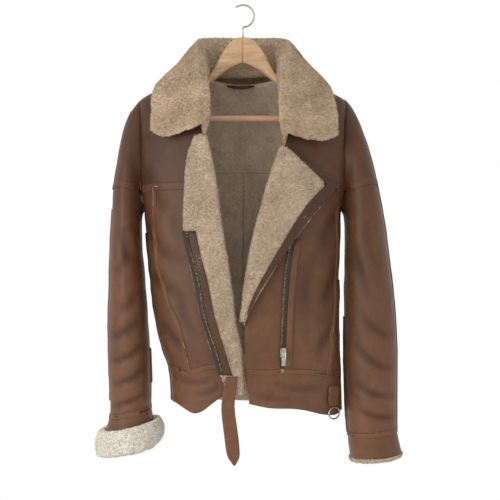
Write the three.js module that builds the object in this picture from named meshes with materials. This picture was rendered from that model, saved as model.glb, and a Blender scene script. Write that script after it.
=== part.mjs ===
// A shearling jacket hanging open on a wooden hanger.
// Millimetres, +Z up, the front faces -Y and the origin is the crest of the hanger's hook.
import * as THREE from 'three';

const SEAM_GAP = 0.4;
const ARMHOLE_GAP = 1.6;
const ARMHOLE_EASE = 0.7;
const SKIN = 8;
const COLLAR_THICK = 13;
const CUFF_THICK = 8;
const RING_POWER = 2.4;
const FOLD_SPACE = 3;
const ARMHOLE = { top: -185, bottom: -400, depth: 40 };
const LOOP_DEGREES = [0, 20, 36, 50, 68, 88, 108, 128, 148, 166, 180];
const YOKE_STEP = 3;
const NECK_TOP = -136;

// Outer size of the body at each height: reach to each side, to the front and to the back.
const BODY = [
  { z: -134, left: 78, right: 78, front: 26, back: 42 },
  { z: -149, left: 110, right: 110, front: 42, back: 58 },
  { z: -160, left: 140, right: 140, front: 55, back: 65 },
  { z: -175, left: 184, right: 184, front: 67, back: 69 },
  { z: -185, left: 197, right: 197, front: 72, back: 70 },
  { z: -215, left: 203, right: 203, front: 80, back: 72 },
  { z: -250, left: 205, right: 205, front: 86, back: 74 },
  { z: -300, left: 205, right: 205, front: 90, back: 76 },
  { z: -350, left: 202, right: 202, front: 93, back: 76 },
  { z: -400, left: 190, right: 189, front: 95, back: 75 },
  { z: -460, left: 186, right: 187, front: 96, back: 74 },
  { z: -520, left: 179, right: 185, front: 96, back: 73 },
  { z: -580, left: 172, right: 184, front: 96, back: 72 },
  { z: -630, left: 165, right: 184, front: 95, back: 70 },
  { z: -665, left: 155, right: 185, front: 92, back: 68 },
  { z: -700, left: 143, right: 187, front: 84, back: 62 },
  { z: -740, left: 139, right: 188, front: 82, back: 60 },
  { z: -790, left: 138, right: 189, front: 80, back: 60 },
];

// Front edges: x where each front ends or starts to roll, down from the neck.
const OPENING = [
  { z: -134, left: -76, right: 76 }, { z: -190, left: -77, right: 82 },
  { z: -225, left: -77, right: 86 }, { z: -255, left: -76.5, right: 86 },
  { z: -320, left: -62, right: 64 }, { z: -384, left: -53, right: 45 },
  { z: -429, left: -47, right: 33 }, { z: -502, left: -34.5, right: 18 },
  { z: -585, left: -24, right: 6 }, { z: -612, left: -22, right: 3 },
  { z: -649, left: -13, right: 2.5 }, { z: -704, left: -10, right: 2.5 },
  { z: -744, left: -7, right: 10 }, { z: -790, left: -6, right: 14 },
];
// Princess seams of the two fronts.
const PRINCESS = [
  { z: -134, left: -77, right: 77 }, { z: -185, left: -172, right: 176 },
  { z: -357, left: -169, right: 180 }, { z: -470, left: -167, right: 180 },
  { z: -530, left: -155, right: 178 }, { z: -575, left: -140, right: 176 },
  { z: -620, left: -120, right: 172 }, { z: -665, left: -105, right: 166 },
  { z: -700, left: -100, right: 162 }, { z: -790, left: -98, right: 160 },
];
// Waist seam and hem: height at each place across the front.
const WAIST = [
  { x: -145, z: -698 }, { x: -100, z: -703 }, { x: -60, z: -693 }, { x: -8, z: -691 },
  { x: 3, z: -701 }, { x: 56, z: -701 }, { x: 111, z: -710 }, { x: 190, z: -709 },
];
const HEM = [
  { x: -140, z: -764 }, { x: -118, z: -773 }, { x: -97, z: -783 }, { x: -66, z: -772 },
  { x: -30, z: -745 }, { x: -6, z: -742 }, { x: 10, z: -767 }, { x: 56, z: -771 },
  { x: 89, z: -783 }, { x: 124, z: -788 }, { x: 160, z: -785 }, { x: 190, z: -782 },
];
// The outer edge of each turned front, for a height on its roll.
const TURNED_LEFT = [
  { roll: -262, x: -88, z: -266 }, { roll: -292, x: -100, z: -292 },
  { roll: -380, x: -106, z: -380 }, { roll: -440, x: -108, z: -440 },
  { roll: -480, x: -101, z: -478 }, { roll: -530, x: -86, z: -529 },
  { roll: -588, x: -77, z: -588 }, { roll: -650, x: -58, z: -648 },
  { roll: -705, x: -42, z: -704 }, { roll: -742, x: -24, z: -738 },
];
const TURNED_RIGHT = [
  { roll: -284, x: 97, z: -296 }, { roll: -300, x: 140, z: -334 },
  { roll: -316, x: 171, z: -361 }, { roll: -345, x: 138, z: -393 },
  { roll: -390, x: 105, z: -438 }, { roll: -450, x: 77, z: -478 },
  { roll: -550, x: 22, z: -566 }, { roll: -606, x: 2, z: -612 },
];

// Sleeve rings: the under-arm point, the outer point and the reach to front and back.
const SLEEVES = {
  L: [
    { ix: -193, iz: -405, ox: -213, oz: -200, ry: 45 }, { ix: -195, iz: -414, ox: -227, oz: -227, ry: 52 },
    { ix: -195, iz: -427, ox: -237, oz: -268, ry: 57 }, { ix: -195, iz: -444, ox: -244, oz: -316, ry: 61 },
    { ix: -194, iz: -468, ox: -250, oz: -366, ry: 63 }, { ix: -191, iz: -505, ox: -254, oz: -435, ry: 63 },
    { ix: -186, iz: -565, ox: -258, oz: -530, ry: 62 }, { ix: -181, iz: -630, ox: -260, oz: -615, ry: 60 },
    { ix: -177, iz: -690, ox: -259, oz: -690, ry: 57 }, { ix: -175, iz: -740, ox: -257, oz: -748, ry: 54 },
    { ix: -177, iz: -778, ox: -256, oz: -794, ry: 52 },
  ],
  R: [
    { ix: 193, iz: -405, ox: 211, oz: -199, ry: 45 }, { ix: 195, iz: -414, ox: 223, oz: -225, ry: 52 },
    { ix: 196, iz: -427, ox: 238, oz: -264, ry: 57 }, { ix: 197, iz: -444, ox: 251, oz: -310, ry: 60 },
    { ix: 197, iz: -468, ox: 262, oz: -360, ry: 62 }, { ix: 196, iz: -510, ox: 275, oz: -432, ry: 62 },
    { ix: 195, iz: -580, ox: 289, oz: -545, ry: 61 }, { ix: 194, iz: -650, ox: 296, oz: -640, ry: 60 },
    { ix: 195, iz: -720, ox: 297, oz: -722, ry: 58 }, { ix: 197, iz: -780, ox: 296, oz: -778, ry: 56 },
    { ix: 201, iz: -828, ox: 297, oz: -818, ry: 55 },
  ],
};
const CUFFS = {
  L: [
    { ix: -173, iz: -794, ox: -261, oz: -812, ry: 55 },
    { ix: -171, iz: -808, ox: -266, oz: -828, ry: 58 },
  ],
  R: [
    { ix: 201, iz: -848, ox: 300, oz: -838, ry: 57 },
    { ix: 205, iz: -872, ox: 306, oz: -862, ry: 58 },
  ],
};
// The fleece turned out of each cuff: section offsets along the sleeve and out of it.
const CUFF_FLEECE = {
  L: [[-0.7, -8], [-0.7, 1], [7, 2.5], [8, 11], [-4, 18], [-22, 20], [-36, 16], [-42, 4], [-36, -8]],
  R: [[-0.7, -8], [-0.7, -1], [-3, 1], [-7, -1], [-7, -8]],
};

// Collar sections from the front end to the back: roll line, outer edge and droop of its middle.
const COLLAR = {
  L: [
    { neck: -250, rx: -76, ry: -111, rz: -243, ex: -170, ey: -86, ez: -253, droop: 14 },
    { neck: -222, rx: -78, ry: -99, rz: -203, ex: -170, ey: -68, ez: -229, droop: 4 },
    { neck: -190, rx: -82, ry: -80, rz: -162, ex: -168, ey: -59, ez: -196, droop: 0 },
    { neck: -158, rx: -86, ry: -50, rz: -124, ex: -160, ey: -31, ez: -165, droop: -2 },
    { neck: -137, rx: -90, ry: -12, rz: -94, ex: -150, ey: 8, ez: -158, droop: -2 },
    { theta: 112, rx: -88, ry: 30, rz: -74, ex: -138, ey: 58, ez: -160, droop: -4 },
    { theta: 136, rx: -66, ry: 58, rz: -66, ex: -106, ey: 92, ez: -166, droop: -4 },
    { theta: 158, rx: -34, ry: 70, rz: -64, ex: -54, ey: 107, ez: -169, droop: -4 },
  ],
  R: [
    { neck: -268, rx: 84, ry: -112, rz: -262, ex: 176, ey: -86, ez: -262, droop: 10 },
    { neck: -232, rx: 84, ry: -101, rz: -212, ex: 176, ey: -68, ez: -232, droop: 2 },
    { neck: -194, rx: 86, ry: -82, rz: -166, ex: 168, ey: -59, ez: -197, droop: 0 },
    { neck: -160, rx: 88, ry: -50, rz: -126, ex: 158, ey: -31, ez: -165, droop: -2 },
    { neck: -137, rx: 91, ry: -12, rz: -96, ex: 148, ey: 8, ez: -158, droop: -2 },
    { theta: 112, rx: 89, ry: 30, rz: -75, ex: 136, ey: 58, ez: -160, droop: -4 },
    { theta: 136, rx: 66, ry: 58, rz: -66, ex: 106, ey: 92, ez: -166, droop: -4 },
    { theta: 158, rx: 34, ry: 70, rz: -64, ex: 54, ey: 107, ez: -169, droop: -4 },
  ],
};
const COLLAR_BACK = { theta: 180, rx: 0, ry: 74, rz: -64, ex: 0, ey: 111, ez: -170, droop: -4 };
const COLLAR_LEAF = 5;
const FOOT_LIFT = 0.16;

// Hanger halves: top, bottom and half thickness at each distance from the middle.
const HANGER = [
  { x: 0.3, top: -64, bottom: -115, half: 9 }, { x: 14, top: -66, bottom: -119, half: 9.5 },
  { x: 30, top: -77, bottom: -129, half: 10 }, { x: 46, top: -103, bottom: -142, half: 10.5 },
  { x: 62, top: -138, bottom: -153, half: 11 }, { x: 90, top: -151.6, bottom: -175, half: 12 },
  { x: 130, top: -167.1, bottom: -205, half: 13 }, { x: 160, top: -178.6, bottom: -224, half: 14 },
  { x: 180, top: -191.4, bottom: -232, half: 14 },
];
const HANGER_CORNERS = 10;
const BAR = { radius: 6, z: -221.4, half: 147.3 };
const HOOK = { wire: 1.9, bend: 21.5, foot: -64.5, straight: 8, lastDegrees: 130 };

const LEATHER = { color: 0x6b4a35, roughness: 0.5, metalness: 0 };
const FLEECE = { color: 0xb59d7c, roughness: 1, metalness: 0 };
const WOOD = { color: 0xa88a60, roughness: 0.6, metalness: 0 };
const METAL = { color: 0x8d8373, roughness: 0.35, metalness: 0.9 };

const jacket = new THREE.Group();
const sideSign = { L: -1, R: 1 };
const sideName = { L: 'left', R: 'right' };

// Smooth reading of one column of a table.
function read(table, by, at, column) {
  const rows = table[0][by] < table[table.length - 1][by] ? table : [...table].reverse();
  const last = rows.length - 1;
  if (at <= rows[0][by]) return rows[0][column];
  if (at >= rows[last][by]) return rows[last][column];
  const i = rows.findIndex((row) => row[by] > at) - 1;
  const slope = (k) => {
    if (k === 0 || k === last) return 0;
    return (rows[k + 1][column] - rows[k - 1][column]) / (rows[k + 1][by] - rows[k - 1][by]);
  };
  const h = rows[i + 1][by] - rows[i][by];
  const t = (at - rows[i][by]) / h;
  const rise = rows[i + 1][column] - rows[i][column];
  const smooth = t * t * (3 - 2 * t);
  return rows[i][column] + rise * smooth
    + h * slope(i) * t * (1 - t) ** 2 - h * slope(i + 1) * t * t * (1 - t);
}

const mix = (a, b, t) => a + (b - a) * t;

// A point on the body, by the angle round it in degrees from the front and its height.
function bodyPoint(degrees, z) {
  const angle = THREE.MathUtils.degToRad(degrees);
  const s = Math.sin(angle);
  const c = Math.cos(angle);
  const power = 2 / RING_POWER;
  const side = read(BODY, 'z', z, s < 0 ? 'left' : 'right');
  const depth = read(BODY, 'z', z, c > 0 ? 'front' : 'back');
  const x = side * Math.sign(s) * Math.abs(s) ** power;
  const y = -depth * Math.sign(c) * Math.abs(c) ** power;
  return new THREE.Vector3(x, y, z);
}

// The angle at which the front of the body has a given x.
function angleOf(x, z) {
  const side = read(BODY, 'z', z, x < 0 ? 'left' : 'right');
  const share = Math.min(Math.abs(x) / side, 0.9995);
  return Math.sign(x) * THREE.MathUtils.radToDeg(Math.asin(share ** (RING_POWER / 2)));
}

function bodyNormal(degrees, z) {
  const step = 0.6;
  const across = bodyPoint(degrees + step, z).sub(bodyPoint(degrees - step, z));
  const up = bodyPoint(degrees, z + step).sub(bodyPoint(degrees, z - step));
  return across.cross(up).normalize();
}

// The angle of the armhole edge at a height, on the front of the body or on its back.
function armholeAngle(z, back) {
  const middle = (ARMHOLE.top + ARMHOLE.bottom) / 2;
  const half = (ARMHOLE.top - ARMHOLE.bottom) / 2;
  const reach = ARMHOLE.depth * Math.sqrt(Math.max(0, 1 - ((z - middle) / half) ** 2));
  const depth = read(BODY, 'z', z, back ? 'back' : 'front');
  const c = Math.min(1, (reach / depth) ** (RING_POWER / 2));
  const angle = THREE.MathUtils.radToDeg(Math.acos(c));
  return back ? 180 - angle : angle;
}

const loopHeight = (degrees) => {
  const middle = (ARMHOLE.top + ARMHOLE.bottom) / 2;
  const half = (ARMHOLE.top - ARMHOLE.bottom) / 2;
  return middle - half * Math.cos(THREE.MathUtils.degToRad(degrees));
};

// A closed wall between two matching grids of points, open or closed round its columns.
function wall(outer, inner, round = false) {
  const rows = outer.length;
  const columns = outer[0].length;
  const points = [...outer.flat(), ...inner.flat()];
  const under = rows * columns;
  const index = [];
  const quad = (a, b, c, d) => index.push(a, b, c, a, c, d);
  const at = (r, c) => r * columns + (c % columns);
  const spans = round ? columns : columns - 1;
  for (let r = 0; r < rows - 1; r += 1) {
    for (let c = 0; c < spans; c += 1) {
      quad(at(r, c), at(r, c + 1), at(r + 1, c + 1), at(r + 1, c));
      quad(under + at(r, c), under + at(r + 1, c), under + at(r + 1, c + 1), under + at(r, c + 1));
    }
  }
  for (let c = 0; c < spans; c += 1) {
    const end = rows - 1;
    quad(at(0, c), under + at(0, c), under + at(0, c + 1), at(0, c + 1));
    quad(at(end, c), at(end, c + 1), under + at(end, c + 1), under + at(end, c));
  }
  for (let r = 0; r < rows - 1 && !round; r += 1) {
    const end = columns - 1;
    quad(at(r, 0), at(r + 1, 0), under + at(r + 1, 0), under + at(r, 0));
    quad(at(r, end), under + at(r, end), under + at(r + 1, end), at(r + 1, end));
  }
  return solid(points, index);
}

// Geometry from points and faces, turned so that its faces point out.
function solid(points, index) {
  let volume = 0;
  const cross = new THREE.Vector3();
  for (let i = 0; i < index.length; i += 3) {
    cross.crossVectors(points[index[i + 1]], points[index[i + 2]]);
    volume += points[index[i]].dot(cross);
  }
  const faces = volume > 0 ? index : [...index].reverse();
  const geometry = new THREE.BufferGeometry();
  const flat = points.flatMap((p) => [p.x, p.y, p.z]);
  geometry.setAttribute('position', new THREE.Float32BufferAttribute(flat, 3));
  geometry.setIndex(faces);
  return geometry;
}

// A grid with its outermost points drawn in by half the seam gap.
function trim(grid, round = false, firstGap = SEAM_GAP) {
  const pull = (p, q, gap = SEAM_GAP) => p.clone().add(q.clone().sub(p).setLength(gap / 2));
  const last = grid.length - 1;
  const rows = grid.map((row) => row.map((p) => p.clone()));
  rows[0] = grid[0].map((p, c) => pull(p, grid[1][c], firstGap));
  rows[last] = grid[last].map((p, c) => pull(p, grid[last - 1][c]));
  if (round) return rows;
  return rows.map((row) => {
    const end = row.length - 1;
    const drawn = [...row];
    drawn[0] = pull(row[0], row[1]);
    drawn[end] = pull(row[end], row[end - 1]);
    return drawn;
  });
}

function add(name, geometry, finish) {
  const mesh = new THREE.Mesh(geometry, new THREE.MeshStandardMaterial(finish));
  mesh.name = name;
  jacket.add(mesh);
  return mesh;
}

const lift = (spot, distance) => spot.point.clone().addScaledVector(spot.normal, distance);

function addSheet(name, spots, finish, outerLift = 0, innerLift = -SKIN, firstGap = SEAM_GAP) {
  const outer = trim(spots.map((row) => row.map((s) => lift(s, outerLift))), false, firstGap);
  const inner = trim(spots.map((row) => row.map((s) => lift(s, innerLift))), false, firstGap);
  return add(name, wall(outer, inner), finish);
}

const spotAt = (degrees, z) => ({ point: bodyPoint(degrees, z), normal: bodyNormal(degrees, z) });
const frontSpot = (x, z) => spotAt(angleOf(x, z), z);

// Row heights of the body: at the armhole edge and at the middle of the front or back.
const STEPS = LOOP_DEGREES.length;
const SHOULDER_ROWS = 3;
const YOKE_ROW = SHOULDER_ROWS + STEPS - 1 - YOKE_STEP;
const ARMPIT_ROW = SHOULDER_ROWS + STEPS - 1;
const SKIRT_ROWS = 7;
const WAIST_ROW = ARMPIT_ROW + SKIRT_ROWS;
const HEM_ROW = WAIST_ROW + 3;
const YOKE_MIDDLE = { front: -356, back: -322 };

function rowHeight(row, side, share, back) {
  const top = back ? mix(NECK_TOP, -148, (1 - share) ** 1.5) : NECK_TOP;
  if (row <= SHOULDER_ROWS) return mix(top, ARMHOLE.top, row / SHOULDER_ROWS);
  const yoke = YOKE_MIDDLE[back ? 'back' : 'front'];
  const blend = share ** 3;
  if (row <= ARMPIT_ROW) {
    const edge = loopHeight(LOOP_DEGREES[ARMPIT_ROW - row]);
    const even = row <= YOKE_ROW
      ? mix(ARMHOLE.top, yoke, (row - SHOULDER_ROWS) / (YOKE_ROW - SHOULDER_ROWS))
      : mix(yoke, -425, (row - YOKE_ROW) / (ARMPIT_ROW - YOKE_ROW));
    return mix(even, edge, blend);
  }
  const place = sideSign[side] * mix(5, 185, share);
  const waist = read(WAIST, 'x', back ? sideSign[side] * 185 : place, 'z');
  const pit = mix(-425, ARMHOLE.bottom, blend);
  if (row <= WAIST_ROW) return mix(pit, waist, (row - ARMPIT_ROW) / SKIRT_ROWS);
  const hem = read(HEM, 'x', back ? sideSign[side] * 185 : place, 'z');
  return mix(waist, hem, (row - WAIST_ROW) / (HEM_ROW - WAIST_ROW));
}

// Front columns run from the edge to the princess seam and on to the side or armhole.
const FRONT_COLUMNS = 9;
const PRINCESS_COLUMN = 5;

function frontGrid(side, column, row) {
  const name = sideName[side];
  const share = column / FRONT_COLUMNS;
  const z = rowHeight(row, side, share, false);
  const open = angleOf(read(OPENING, 'z', z, name), z);
  const seam = angleOf(read(PRINCESS, 'z', z, name), z);
  const inArmhole = row > SHOULDER_ROWS && row < ARMPIT_ROW;
  const edge = sideSign[side] * (inArmhole ? armholeAngle(z, false) - ARMHOLE_EASE : 90);
  if (column <= PRINCESS_COLUMN) return spotAt(mix(open, seam, column / PRINCESS_COLUMN), z);
  const along = (column - PRINCESS_COLUMN) / (FRONT_COLUMNS - PRINCESS_COLUMN);
  return spotAt(mix(seam, edge, along), z);
}

function block(gridPoint, firstRow, lastRow, firstColumn, lastColumn) {
  const spots = [];
  for (let row = firstRow; row <= lastRow; row += 1) {
    spots.push([]);
    for (let column = firstColumn; column <= lastColumn; column += 1) {
      spots[spots.length - 1].push(gridPoint(column, row));
    }
  }
  return spots;
}

function addFronts(side) {
  const grid = (column, row) => frontGrid(side, column, row);
  const last = FRONT_COLUMNS;
  const seam = PRINCESS_COLUMN;
  addSheet(`front_yoke_${side}`, block(grid, 0, YOKE_ROW, 0, last), LEATHER);
  addSheet(`front_centre_${side}`, block(grid, YOKE_ROW, WAIST_ROW, 0, seam), LEATHER);
  addSheet(`front_side_${side}`, block(grid, YOKE_ROW, WAIST_ROW, seam, last), LEATHER);
  addSheet(`waistband_front_${side}`, block(grid, WAIST_ROW, HEM_ROW, 0, last), LEATHER);
}

// Back columns run from the image-left side round to the image-right one.
const BACK_COLUMNS = 14;
const CENTRE_BACK = 7;

function backGrid(column, row) {
  const turn = (column - CENTRE_BACK) / CENTRE_BACK;
  const side = turn < 0 ? 'L' : 'R';
  const share = Math.abs(turn);
  const z = rowHeight(row, side, share, true);
  const inArmhole = row > SHOULDER_ROWS && row < ARMPIT_ROW;
  const edge = inArmhole ? armholeAngle(z, true) + ARMHOLE_EASE : 90;
  return spotAt(180 - turn * (180 - edge), z);
}

function levelledBack(column, row) {
  const across = column / BACK_COLUMNS;
  const spot = backGrid(column, row);
  if (row <= ARMPIT_ROW || column === 0 || column === BACK_COLUMNS) return spot;
  const left = rowHeight(row, 'L', 1, true);
  const right = rowHeight(row, 'R', 1, true);
  const lower = (row - ARMPIT_ROW) / (HEM_ROW - ARMPIT_ROW);
  const z = mix(rowHeight(row, 'R', Math.abs(across * 2 - 1), true), mix(left, right, across), lower);
  const turn = (column - CENTRE_BACK) / CENTRE_BACK;
  return spotAt(180 - turn * 90, z);
}

function addBack() {
  addSheet('back_yoke', block(levelledBack, 0, YOKE_ROW, 0, BACK_COLUMNS), LEATHER);
  addSheet('back_L', block(levelledBack, YOKE_ROW, WAIST_ROW, 0, CENTRE_BACK), LEATHER);
  addSheet('back_R', block(levelledBack, YOKE_ROW, WAIST_ROW, CENTRE_BACK, BACK_COLUMNS), LEATHER);
  addSheet('waistband_back', block(levelledBack, WAIST_ROW, HEM_ROW, 0, BACK_COLUMNS), LEATHER);
}

// A sleeve surface point: degrees round from the under-arm over the front, and ring number.
function loopPoint(side, degrees) {
  const back = degrees > 180;
  const z = loopHeight(degrees);
  const edge = degrees === 0 || degrees === 180 ? 90 : armholeAngle(z, back);
  return bodyPoint(sideSign[side] * edge, z);
}

function ringPoint(ring, degrees) {
  const angle = THREE.MathUtils.degToRad(degrees);
  const out = (1 - Math.cos(angle)) / 2;
  const bow = Math.sign(Math.sin(angle)) * Math.abs(Math.sin(angle)) ** 0.9;
  return new THREE.Vector3(mix(ring.ix, ring.ox, out), -ring.ry * bow, mix(ring.iz, ring.oz, out));
}

const LAST_RING = SLEEVES.L.length;

function sleevePoint(side, degrees, ring) {
  const knot = (k) => {
    if (k <= 0) return loopPoint(side, degrees);
    return ringPoint(SLEEVES[side][Math.min(k, LAST_RING) - 1], degrees);
  };
  const k = Math.min(Math.floor(ring), LAST_RING - 1);
  const t = ring - k;
  const [p0, p1, p2, p3] = [knot(k - 1), knot(k), knot(k + 1), knot(k + 2)];
  const blend = (a, b, c, d) => 0.5 * (2 * b + (c - a) * t + (2 * a - 5 * b + 4 * c - d) * t * t
    + (3 * b - a - 3 * c + d) * t ** 3);
  return new THREE.Vector3(
    blend(p0.x, p1.x, p2.x, p3.x),
    blend(p0.y, p1.y, p2.y, p3.y),
    blend(p0.z, p1.z, p2.z, p3.z),
  );
}

const wrap = (degrees) => (degrees + 360) % 360;

function sleeveNormal(side, degrees, ring) {
  const step = 4;
  const from = sleevePoint(side, wrap(degrees - step), ring);
  const to = sleevePoint(side, wrap(degrees + step), ring);
  const low = Math.max(ring - 0.15, 0);
  const high = Math.min(ring + 0.15, LAST_RING);
  const along = sleevePoint(side, degrees, high).sub(sleevePoint(side, degrees, low));
  return to.sub(from).cross(along).normalize().multiplyScalar(-sideSign[side]);
}

// At the armhole the sleeve's wall shares its direction with the body's.
function sleeveSpot(side, degrees, ring) {
  const point = sleevePoint(side, degrees, ring);
  if (ring > 0) return { point, normal: sleeveNormal(side, degrees, ring) };
  const back = degrees > 180;
  const z = loopHeight(degrees);
  const edge = degrees === 0 || degrees === 180 ? 90 : armholeAngle(z, back);
  return { point, normal: bodyNormal(sideSign[side] * edge, z) };
}

// The yoke seam's ring on the sleeve, by degrees round it.
const YOKE_ON_SLEEVE = [
  { at: 50, ring: 0.4 }, { at: 68, ring: 2 }, { at: 88, ring: 3.1 },
  { at: 128, ring: 4.2 }, { at: 180, ring: 4.8 },
];
const HEAD_ROWS = 4;
const SLEEVE_ROWS = 9;

function yokeRing(degrees) {
  const front = degrees > 180 ? 360 - degrees : degrees;
  return front < LOOP_DEGREES[YOKE_STEP] ? 0 : read(YOKE_ON_SLEEVE, 'at', front, 'ring');
}

const backDegrees = LOOP_DEGREES.map((d) => wrap(360 - d));

function addSleeve(side) {
  const rows = (degrees, count, first, last) => Array.from({ length: count + 1 }, (_, r) => (
    degrees.map((d) => sleeveSpot(side, d, mix(first(d), last(d), r / count)))));
  const zero = () => 0;
  const end = () => LAST_RING;
  [['front', LOOP_DEGREES], ['back', backDegrees]].forEach(([half, degrees]) => {
    const head = rows(degrees.slice(YOKE_STEP), HEAD_ROWS, zero, yokeRing);
    addSheet(`sleeve_head_${half}_${side}`, head, LEATHER, 0, -SKIN, ARMHOLE_GAP);
    addSheet(`sleeve_${half}_${side}`, rows(degrees, SLEEVE_ROWS, yokeRing, end), LEATHER);
  });
}

const ROUND_DEGREES = [...LOOP_DEGREES, ...backDegrees.slice(1, -1).reverse()];

// Points out of a cuff ring by a distance along the sleeve and one out of it.
function cuffOffset(ring, degrees, along, out) {
  const point = ringPoint(ring, degrees);
  const middle = new THREE.Vector3((ring.ix + ring.ox) / 2, 0, (ring.iz + ring.oz) / 2);
  const away = point.clone().sub(middle).normalize();
  return point.addScaledVector(away, out).add(new THREE.Vector3(0, 0, along));
}

function addCuff(side) {
  const rings = CUFFS[side];
  const seam = (out) => ROUND_DEGREES.map((d) => {
    const spot = sleeveSpot(side, d, LAST_RING);
    return lift(spot, out).add(new THREE.Vector3(0, 0, -SEAM_GAP / 2));
  });
  const grid = (out) => [
    seam(out), ...rings.map((ring) => ROUND_DEGREES.map((d) => cuffOffset(ring, d, 0, out)))];
  add(`cuff_${side}`, wall(trim(grid(0), true), trim(grid(-CUFF_THICK), true), true), LEATHER);
  const end = rings[rings.length - 1];
  const section = CUFF_FLEECE[side];
  const points = section.flatMap(([along, out]) => ROUND_DEGREES.map(
    (d) => cuffOffset(end, d, along, out)));
  const columns = ROUND_DEGREES.length;
  const index = [];
  section.forEach((_, s) => {
    const next = (s + 1) % section.length;
    for (let c = 0; c < columns; c += 1) {
      const d = (c + 1) % columns;
      const [p, q, r, t] = [s * columns + c, s * columns + d, next * columns + d, next * columns + c];
      index.push(p, q, r, p, r, t);
    }
  });
  add(`cuff_fleece_${side}`, solid(points, index), FLEECE);
}

// A turned front: it leaves the body's edge, rolls round and lies back over the panel.
const ROLL_STEPS = 4;
const TURN_COLUMNS = 5;

function turnedRow(side, z, edgeX, edgeZ, lifts) {
  const sign = sideSign[side];
  const start = read(OPENING, 'z', z, sideName[side]);
  const base = frontSpot(start - sign * SEAM_GAP, z);
  const tangent = new THREE.Vector3(-sign, 0, 0);
  tangent.addScaledVector(base.normal, -tangent.dot(base.normal)).normalize();
  const centre = lift(base, FOLD_SPACE / 2);
  const row = [lift(base, -lifts)];
  for (let i = 1; i < ROLL_STEPS; i += 1) {
    const angle = (Math.PI * i) / ROLL_STEPS;
    const reach = FOLD_SPACE / 2 + lifts;
    row.push(centre.clone().addScaledVector(base.normal, -Math.cos(angle) * reach)
      .addScaledVector(tangent, Math.sin(angle) * reach));
  }
  for (let i = 0; i <= TURN_COLUMNS; i += 1) {
    const t = i / TURN_COLUMNS;
    const spot = frontSpot(mix(start, edgeX, t), mix(z, edgeZ, t));
    row.push(lift(spot, FOLD_SPACE + lifts));
  }
  return row;
}

function addTurned(side, table, heights) {
  const rows = (thickness) => heights.map((z) => turnedRow(
    side, z, read(table, 'roll', z, 'x'), read(table, 'roll', z, 'z'), thickness));
  add(`turned_front_${side}`, wall(trim(rows(0)), trim(rows(SKIN))), FLEECE);
}

const LEFT_TURN = [-262, -292, -330, -380, -440, -480, -530, -588, -620, -650, -680, -705, -742];
const RIGHT_TURN = TURNED_RIGHT.flatMap((row, i) => {
  const next = TURNED_RIGHT[i + 1];
  return next && row.roll - next.roll > 40 ? [row.roll, (row.roll + next.roll) / 2] : [row.roll];
});

// A thin strip laid on a turned front, between two shares of its width.
function addEdgeStrip(name, side, table, heights, from, to, low, high, finish) {
  const shares = [0, 0.5, 1];
  const spots = heights.map((z) => {
    const start = read(OPENING, 'z', z, sideName[side]);
    const edgeX = read(table, 'roll', z, 'x');
    const edgeZ = read(table, 'roll', z, 'z');
    const width = Math.hypot(edgeX - start, edgeZ - z);
    return shares.map((s) => {
      const t = 1 + mix(from(z), to(z), s) / width;
      return frontSpot(mix(start, edgeX, t), mix(z, edgeZ, t));
    });
  });
  const base = FOLD_SPACE + SKIN;
  addSheet(name, spots, finish, base + high, base + low);
}

// A strip on the front panel along a table of places.
function addPanelStrip(name, places, from, to, low, high, finish) {
  const spots = places.map(({ x, z }) => [from, (from + to) / 2, to].map((d) => frontSpot(x + d, z)));
  addSheet(name, spots, finish, high, low);
}

const ZIP_LINE = [
  { x: 92, z: -455 }, { x: 84, z: -500 }, { x: 80, z: -540 }, { x: 77, z: -585 },
  { x: 75, z: -630 }, { x: 74, z: -660 }, { x: 73, z: -692 },
];

function addTrim() {
  const upper = RIGHT_TURN;
  const edgeWidth = (z) => -read([{ z: -606, w: 7 }, { z: -450, w: 13 }, { z: -316, w: 22 },
    { z: -284, w: 18 }], 'z', z, 'w');
  addEdgeStrip('lapel_edge_R', 'R', TURNED_RIGHT, upper.slice(0, -1), () => 0, edgeWidth, 1.3, 3, LEATHER);
  const low = LEFT_TURN.filter((z) => z <= -440 && z > -740);
  addEdgeStrip('edge_strip_L', 'L', TURNED_LEFT, low, () => -9, () => -24, 0.3, 2, LEATHER);
  addEdgeStrip('zip_L', 'L', TURNED_LEFT, low, () => 0.5, () => -8.4, 0.3, 2.6, METAL);
  addPanelStrip('zip_R', ZIP_LINE, -5, 4.5, 0.3, 2.6, METAL);
  addPanelStrip('zip_strip_R', ZIP_LINE, 5, 17, 0.3, 1.8, LEATHER);
}

// Hardware on the image-right front: slider, stop and hanging pull tab.
const SLIDER = { x: 73.5, z: -664, width: 11, height: 18, thick: 6, clear: 4 };
const PULL = { width: 7.6, height: 27, thick: 1.6, above: 3, clear: 0.4 };
const STOP = { x: 73.5, z: -698, width: 7, height: 6, thick: 3, clear: 0.6, drop: 0.5 };
const CORNER_SHARE = 0.3;

// A plate with cut corners that stands upright over a spot, drawn down by a drop.
function boxAt(name, size, spot, out, finish, drop = 0) {
  const shape = new THREE.Shape();
  const [w, h] = [size.width / 2, size.height / 2];
  const c = Math.min(w, h) * CORNER_SHARE;
  shape.moveTo(-w + c, -h).lineTo(w - c, -h).lineTo(w, -h + c).lineTo(w, h - c);
  shape.lineTo(w - c, h).lineTo(-w + c, h).lineTo(-w, h - c).lineTo(-w, -h + c);
  const geometry = new THREE.ExtrudeGeometry(shape, { depth: size.thick, bevelEnabled: false });
  const z = new THREE.Vector3(spot.normal.x, spot.normal.y, 0).normalize();
  const up = new THREE.Vector3(0, 0, 1);
  const across = up.clone().cross(z);
  const frame = new THREE.Matrix4().makeBasis(across, up, z);
  const place = spot.point.clone().addScaledVector(z, out).addScaledVector(up, -drop);
  geometry.applyMatrix4(frame.setPosition(place));
  return add(name, geometry, finish);
}

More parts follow.
